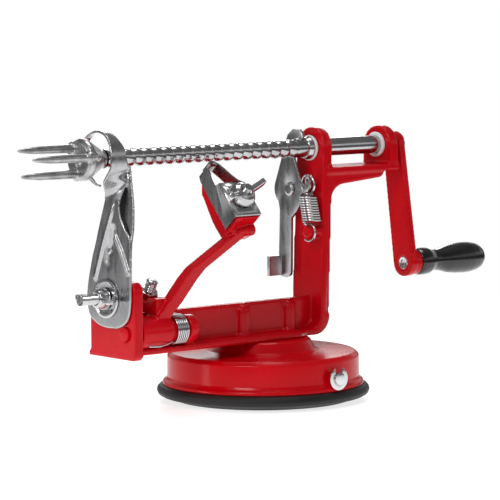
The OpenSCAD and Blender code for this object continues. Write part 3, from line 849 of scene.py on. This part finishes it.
CARRIER_OUT = carrier_point(0, 0, 1) - CARRIER


def build_arm():
    """Peeling arm, its stop screw and lock nut."""
    piece(soften(copy_of("peeler_arm", "arm_casting"), 0.45, 4), "arm", ENAMEL, "peeler_arm")
    lean = Vector((0, -math.sin(STOP_LEAN), math.cos(STOP_LEAN)))
    foot = middle("stop_screw") - lean * STOP_LENGTH / 2
    length = STOP_LENGTH - 0.7
    thread = threaded("stop_thread", foot, lean, length, 2.8, 1.25, 0.5, v_groove, (0.8, 1.0), 40, 12)
    dome = lathe("stop_end", [(0, -1), (2.2, -1), (2.2, 0), (1.7, 0.4), (0, 0.65)], foot + lean * length, lean, 40)
    piece(joined("stop_stud", [thread, dome]), "arm", PLATED, "stop_screw")
    nut = prism("stop_lock_nut", hexagon(5), 2.6, along(middle("stop_nut") - lean * 1.3, lean), 0.45)
    piece(nut, "arm", PLATED, "stop_nut")


def build_arm_spring():
    """Torsion coil, with one leg under the arm's boss and one hooked over its heel."""
    x1, x2 = low("arm_spring").x + 0.6, high("arm_spring").x - 0.6
    turns, r, wire = 6.6, 6.95, 0.44
    path = spline([(-87, PIVOT.y - 6.6, 34.6), (-80, PIVOT.y - 7.0, 34.2), (x1 - 2, PIVOT.y - 5.6, 35.4)], 8)[:-1]
    steps = int(turns * 40)
    for k in range(steps + 1):
        t = k / steps
        angle = math.radians(230) + 2 * math.pi * turns * t
        path.append(Vector((x1 + (x2 - x1) * t, PIVOT.y + r * math.cos(angle), PIVOT.z + r * math.sin(angle))))
    end = path[-1]
    path += spline([end, end + Vector((0.4, 3.0, -1.0)), end + Vector((0.6, 6.4, 0.6))], 6)[1:]
    coil = tube("arm_coil", path, wire, 14)
    paint(coil, WIRE)
    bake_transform(coil)
    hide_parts("arm_spring")


def build_peeler():
    """Peeling blade with its bolt, washer and wing nut."""
    blade = copy_of("peeler_blade", "peeling_blade")
    bevel(blade, 0.28, 2, 40)
    piece(blade, "peeler", SHEET, "peeler_blade")
    base = carrier_point(0, 10, -12.4)
    thread = threaded("peeler_thread", base, CARRIER_OUT, 22.2, 1.96, 0.7, 0.34, v_groove, (0, 0.7), 32, 8)
    head = lathe(
        "peeler_bolt_head", [(0, -1.4), (2.6, -1.4), (3.6, -0.5), (3.6, 0.9), (0, 0.9)], base, CARRIER_OUT, 48, 0.3
    )
    piece(joined("blade_screw", [thread, head]), "arm", PLATED, "peeler_bolt")
    washer = lathe(
        "blade_shim", [(2.2, 0), (4.8, 0), (4.8, 0.75), (2.2, 0.75), (2.2, 0)],
        carrier_point(0, 10, 1.06), CARRIER_OUT, 64, 0.15,
    )
    piece(washer, "peeler_shim", PLATED, "peeler_washer")
    axis_x = along((0, 0, 0), CARRIER_OUT) @ Vector((1, 0, 0))
    across = Vector((1, 0, 0))
    spin = math.atan2(CARRIER_OUT.dot(axis_x.cross(across)), axis_x.dot(across))
    nut = wing_nut(
        "blade_wing_nut_piece", carrier_point(0, 10, 1.92), CARRIER_OUT, spin + math.radians(18), 2.25,
        [(6.2, 0), (6.5, 1.0), (6.2, 2.8), (5.2, 4.5), (3.6, 5.6)],
    )
    piece(nut, "peeler_nut", PLATED, "peeler_wing_nut")


# ---- release lever ----


def build_lever():
    """Release lever and its rivet."""
    lever = copy_of("release_lever", "lever_blank")
    bevel(lever, 0.35, 2, 40)
    piece(lever, "release", SHEET, "release_lever")
    at = middle("lever_rivet")
    x1 = low("lever_rivet").x
    rivet = lathe(
        "lever_pivot", [(0, 0), (2.2, 0), (3.3, 0.45), (3.5, 1.0), (2.45, 1.05), (2.45, 5.5), (0, 5.5)],
        (x1, at.y, at.z), (1, 0, 0), 64, 0.3,
    )
    piece(rivet, "frame", SHEET, "lever_rivet")


def build_lever_spring():
    """Close coil between the lever's ear and the frame's peg."""
    box_low, box_high = low("lever_spring"), high("lever_spring")
    top = Vector(((box_low.x + box_high.x) / 2, (box_low.y + box_high.y) / 2, box_high.z))
    base = Vector((top.x, top.y, box_low.z))
    lean_top, lean_base = Vector((0.6, 2.2, 0)), Vector((-0.4, -2.0, 0))
    r, wire, turns = 4.3, 0.55, 10.5
    path = []
    loop = Vector((26.0, -4.4, 104.2))
    for k in range(33):
        angle = math.radians(-90 + 345 * k / 32)
        path.append(loop + Vector((-0.6 + 1.2 * k / 32, 4.4 * math.cos(angle), 4.6 * math.sin(angle))))
    path = list(reversed(path))
    steps = int(turns * 28)
    for k in range(steps + 1):
        t = k / steps
        angle = 2 * math.pi * turns * t
        centre = (top + lean_top).lerp(base + lean_base, t)
        path.append(centre + Vector((r * math.cos(angle), r * math.sin(angle), 0)))
    peg = Vector((24.2, -7, 80.8))
    hook = []
    for k in range(25):
        angle = math.radians(75 - 200 * k / 24)
        hook.append(peg + Vector((0.0, -4.6 * math.cos(angle), 4.6 * math.sin(angle))))
    end = path[-1]
    path += spline([end, end + Vector((-1.5, -1.5, -1.0)), hook[0]], 6)[1:-1] + hook
    coil = tube("lever_coil", path, wire, 12)
    paint(coil, WIRE)
    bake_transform(coil)
    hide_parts("lever_spring")


# ---- suction base's small parts ----


def build_small_parts():
    for node, width in (("e_clip", 0.12), ("suction_lever", 0.6), ("cam_rod", 0.4), ("lift_stud", 0.3)):
        looks = ENAMEL if node == "suction_lever" else PLATED
        body = "stud" if node == "lift_stud" else "rod"
        piece(bevel(copy_of(node, node + "_piece"), width, 3, 40), body, looks, node)
    grip = soften(copy_of("lever_grip", "lever_grip_piece"), 0.4, 6)
    piece(grip, "rod", BLACK, "lever_grip")
    paint_cad("base_screws", PLATED)


def paint_cad(node, look):
    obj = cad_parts[node]
    for i in range(len(obj.material_slots)):
        obj.material_slots[i].link = "OBJECT"
        obj.material_slots[i].material = look


# ---- stage ----


def build_stage():
    sides = 96
    angles = [2 * math.pi * k / sides for k in range(sides)]
    corners = [(FLOOR_R * math.cos(a), FLOOR_R * math.sin(a), 0) for a in angles]
    floor = make("floor", corners, [tuple(range(sides))])
    floor.location.z = -0.0002
    m, nodes, links, shader = material("floor", grey(0.8), 0.12, Specular_IOR_Level=0.35, Emission_Strength=0.72)
    shader.inputs["Emission Color"].default_value = (1, 1, 1, 1)
    cloud = place_texture(nodes, links, 4, detail=1)
    mottle = ramp(nodes, links, cloud.outputs["Fac"], [(0.2, grey(0.79)), (0.8, grey(0.81))])
    links.new(mottle, shader.inputs["Base Color"])
    paint(floor, m)

    world = bpy.data.worlds.new("studio")
    scene.world = world
    world.use_nodes = True
    nodes, links = world.node_tree.nodes, world.node_tree.links
    nodes.clear()
    out = nodes.new("ShaderNodeOutputWorld")
    where = nodes.new("ShaderNodeTexCoord")
    split = nodes.new("ShaderNodeSeparateXYZ")
    links.new(where.outputs["Generated"], split.inputs["Vector"])
    # What the metals reflect: a dim room with a pale band just above eye level
    height = nodes.new("ShaderNodeMapRange")
    height.inputs["From Min"].default_value = -1
    links.new(split.outputs["Z"], height.inputs["Value"])
    colour = ramp(
        nodes, links, height.outputs["Result"],
        [
            (0.0, grey(0.35)), (0.42, grey(0.20)), (0.50, grey(0.10)), (0.55, grey(0.16)), (0.60, grey(0.75)),
            (0.66, grey(0.80)), (0.71, grey(0.20)), (0.85, grey(0.16)), (1.0, grey(0.35)),
        ],
    )
    studio = nodes.new("ShaderNodeBackground")
    links.new(colour, studio.inputs["Color"])
    plain = nodes.new("ShaderNodeBackground")
    plain.inputs["Color"].default_value = (1, 1, 1, 1)
    rays = nodes.new("ShaderNodeLightPath")
    pick = nodes.new("ShaderNodeMixShader")
    links.new(rays.outputs["Is Camera Ray"], pick.inputs["Fac"])
    links.new(studio.outputs["Background"], pick.inputs[1])
    links.new(plain.outputs["Background"], pick.inputs[2])
    links.new(pick.outputs["Shader"], out.inputs["Surface"])

    def area(name, at, look_at, size, power):
        light = bpy.data.lights.new(name, "AREA")
        light.shape = "RECTANGLE"
        light.size, light.size_y = size
        light.energy = power
        obj = bpy.data.objects.new(name, light)
        scene.collection.objects.link(obj)
        at, look_at = Vector(at), Vector(look_at)
        obj.matrix_world = Matrix.Translation(at) @ (look_at - at).to_track_quat("-Z", "Y").to_matrix().to_4x4()

    area("key", (-1.1, -0.5, 1.0), (0, 0, 0.08), (0.5, 0.5), 7.5)
    area("side", (-1.3, 0.5, 0.35), (0, 0, 0.08), (0.25, 0.7), 2.2)
    area("top", (0.1, 0.1, 1.2), (0, 0, 0), (0.5, 0.5), 4)
    area("back", (0.7, 0.9, 0.6), (0, 0, 0.08), (0.4, 0.5), 3)
    scene.view_settings.view_transform = "Standard"


def build_camera():
    data = bpy.data.cameras.new("camera")
    data.sensor_width = 36
    data.lens = 196.23
    data.clip_start, data.clip_end = 0.05, 20
    camera = bpy.data.objects.new("camera", data)
    scene.collection.objects.link(camera)
    right = Vector((0.76402872, -0.64516352, -0.00491299))
    up = Vector((0.06444816, 0.06874089, 0.99555066))
    ahead = Vector((0.64195525, 0.76094594, -0.09409962))
    turn = Matrix((right, up, -ahead)).transposed().to_4x4()
    camera.matrix_world = Matrix.Translation((-0.864994, -1.015790, 0.199051)) @ turn
    scene.camera = camera


build_camera()
build_stage()
build_frame()
build_base()
build_shaft()
build_fork()
build_bushes()
build_crank()
build_plate()
build_plate_hardware()
build_arm()
build_arm_spring()
build_peeler()
build_lever()
build_lever_spring()
build_small_parts()
